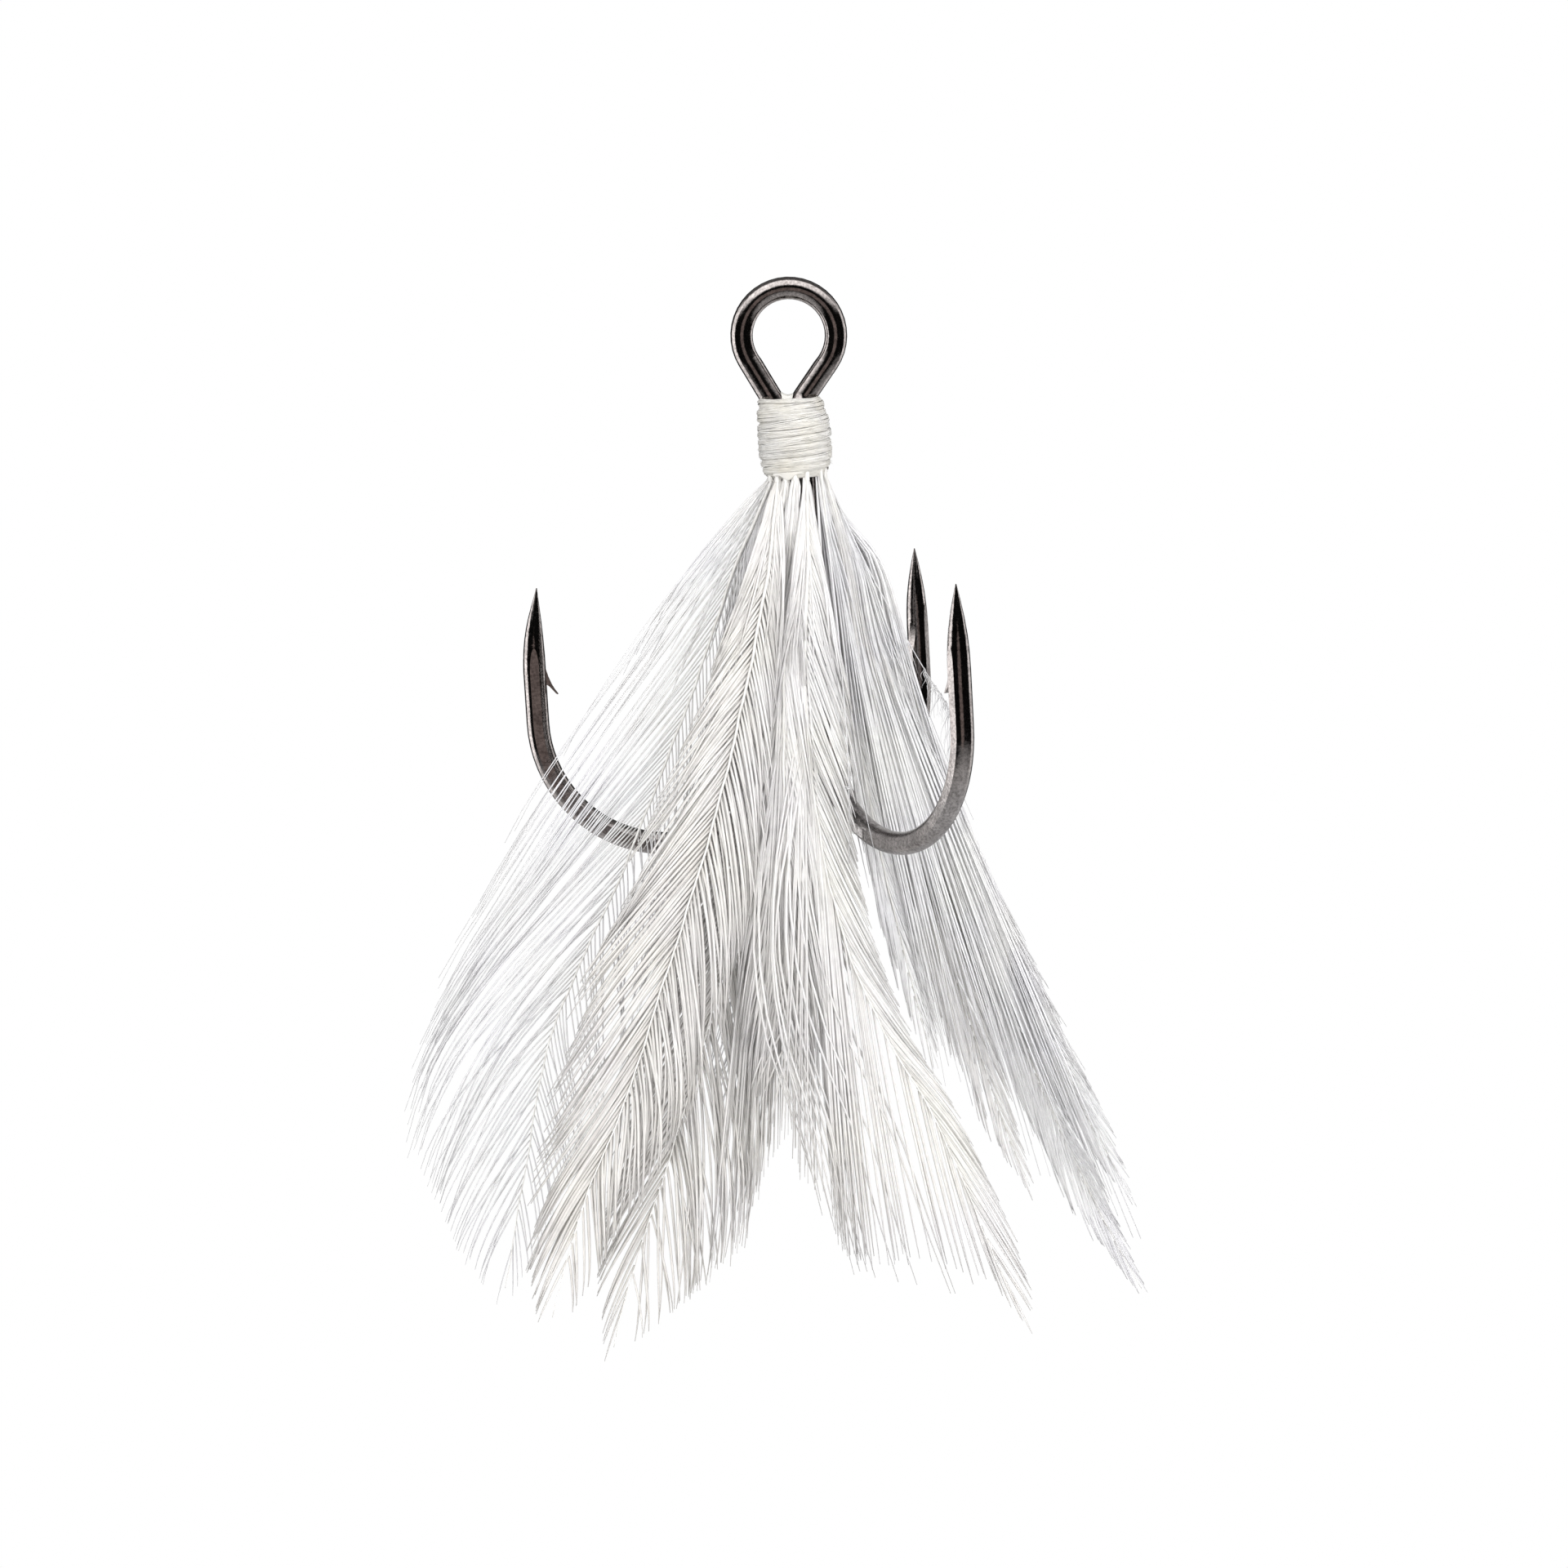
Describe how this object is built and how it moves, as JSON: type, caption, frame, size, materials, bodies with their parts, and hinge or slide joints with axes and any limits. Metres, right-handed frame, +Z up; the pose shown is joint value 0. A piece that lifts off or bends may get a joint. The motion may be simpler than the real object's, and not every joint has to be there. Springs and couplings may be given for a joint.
{
  "type": "feathered treble hook",
  "caption": "Round-bend treble hook with a ring eye, brazed shanks and barbed points, dressed with white hackle feathers whipped on under the eye with thread.",
  "frame": {"origin": "centre of the eye's hole", "axes": "+Z up out of the eye, away from the bends; the eye's hole runs along Y; the first hook points towards -X"},
  "size_m": [0.0308, 0.0198, 0.0461],
  "materials": {
    "black_nickel": "bright black nickel plate on carbon steel wire, polished points",
    "braze": "plated brazing metal, slightly rough",
    "thread": "off-white tying thread, lightly glazed with cement",
    "cement": "clear head cement, faintly amber, glossy",
    "quill": "pale horn stem, satin",
    "barbs": "white feather barbs, silky and translucent"
  },
  "bodies": {
    "hook": {"double_hook": "black_nickel", "third_hook": "black_nickel", "braze_seam": "braze", "thread_base": "thread", "thread_wrap": "thread", "head_cement": "cement", "quill_butts": "quill"},
    "feather_front_1": {"quill_front_1": "quill", "vane_front_1": "barbs"},
    "feather_front_2": {"quill_front_2": "quill", "vane_front_2": "barbs"},
    "feather_front_3": {"quill_front_3": "quill", "vane_front_3": "barbs"},
    "feather_front_4": {"quill_front_4": "quill", "vane_front_4": "barbs"},
    "feather_front_5": {"quill_front_5": "quill", "vane_front_5": "barbs"},
    "feather_right_1": {"quill_right_1": "quill", "vane_right_1": "barbs"},
    "feather_right_2": {"quill_right_2": "quill", "vane_right_2": "barbs"},
    "feather_right_3": {"quill_right_3": "quill", "vane_right_3": "barbs"},
    "feather_right_4": {"quill_right_4": "quill", "vane_right_4": "barbs"},
    "feather_back_1": {"quill_back_1": "quill", "vane_back_1": "barbs"},
    "feather_back_2": {"quill_back_2": "quill", "vane_back_2": "barbs"},
    "feather_back_3": {"quill_back_3": "quill", "vane_back_3": "barbs"}
  },
  "joints": [
    {"name": "flare_front_1", "type": "hinge", "parent": "hook", "child": "feather_front_1", "pos_m": [-0.00107, -0.0005, -0.00595], "axis": [-1, 0, 0], "range_deg": [-1.21, 8.41], "stiffness_Nm_per_rad": 0.0000002},
    {"name": "flare_front_2", "type": "hinge", "parent": "hook", "child": "feather_front_2", "pos_m": [-0.00046, -0.00109, -0.00595], "axis": [-1, 0, 0], "range_deg": [-1.49, 10.37], "stiffness_Nm_per_rad": 0.0000002},
    {"name": "flare_front_3", "type": "hinge", "parent": "hook", "child": "feather_front_3", "pos_m": [-0.00008, -0.00118, -0.00595], "axis": [-1, 0, 0], "range_deg": [-1.77, 12.33], "stiffness_Nm_per_rad": 0.0000002},
    {"name": "flare_front_4", "type": "hinge", "parent": "hook", "child": "feather_front_4", "pos_m": [0.00042, -0.0011, -0.00595], "axis": [-1, 0, 0], "range_deg": [-2, 14], "stiffness_Nm_per_rad": 0.0000002},
    {"name": "flare_front_5", "type": "hinge", "parent": "hook", "child": "feather_front_5", "pos_m": [-0.0008, -0.00086, -0.00595], "axis": [-1, 0, 0], "range_deg": [-2.29, 15.97], "stiffness_Nm_per_rad": 0.0000002},
    {"name": "flare_right_1", "type": "hinge", "parent": "hook", "child": "feather_right_1", "pos_m": [0.00098, -0.00066, -0.00595], "axis": [-0.5, -0.866, 0], "range_deg": [-1.25, 8.69], "stiffness_Nm_per_rad": 0.0000002},
    {"name": "flare_right_2", "type": "hinge", "parent": "hook", "child": "feather_right_2", "pos_m": [0.00116, -0.00023, -0.00595], "axis": [-0.5, -0.866, 0], "range_deg": [-1.53, 10.65], "stiffness_Nm_per_rad": 0.0000002},
    {"name": "flare_right_3", "type": "hinge", "parent": "hook", "child": "feather_right_3", "pos_m": [0.00115, 0.00025, -0.00595], "axis": [-0.5, -0.866, 0], "range_deg": [-1.77, 12.33], "stiffness_Nm_per_rad": 0.0000002},
    {"name": "flare_right_4", "type": "hinge", "parent": "hook", "child": "feather_right_4", "pos_m": [0.00097, 0.00068, -0.00595], "axis": [-0.5, -0.866, 0], "range_deg": [-2, 14], "stiffness_Nm_per_rad": 0.0000002},
    {"name": "flare_back_1", "type": "hinge", "parent": "hook", "child": "feather_back_1", "pos_m": [-0.00012, 0.00117, -0.00595], "axis": [0.8387, 0.5446, 0], "range_deg": [-1.45, 10.09], "stiffness_Nm_per_rad": 0.0000002},
    {"name": "flare_back_2", "type": "hinge", "parent": "hook", "child": "feather_back_2", "pos_m": [-0.00064, 0.00099, -0.00595], "axis": [0.8387, 0.5446, 0], "range_deg": [-1.73, 12.05], "stiffness_Nm_per_rad": 0.0000002},
    {"name": "flare_back_3", "type": "hinge", "parent": "hook", "child": "feather_back_3", "pos_m": [-0.00102, 0.00059, -0.00595], "axis": [0.8387, 0.5446, 0], "range_deg": [-2, 14], "stiffness_Nm_per_rad": 0.0000002}
  ],
  "couplings": [
    {"joint": "flare_front_1", "follows": "flare_front_4", "ratio": 0.6},
    {"joint": "flare_front_2", "follows": "flare_front_4", "ratio": 0.74},
    {"joint": "flare_front_3", "follows": "flare_front_4", "ratio": 0.88},
    {"joint": "flare_front_5", "follows": "flare_front_4", "ratio": 1.14},
    {"joint": "flare_right_1", "follows": "flare_right_4", "ratio": 0.62},
    {"joint": "flare_right_2", "follows": "flare_right_4", "ratio": 0.76},
    {"joint": "flare_right_3", "follows": "flare_right_4", "ratio": 0.88},
    {"joint": "flare_back_1", "follows": "flare_back_3", "ratio": 0.72},
    {"joint": "flare_back_2", "follows": "flare_back_3", "ratio": 0.86}
  ]
}
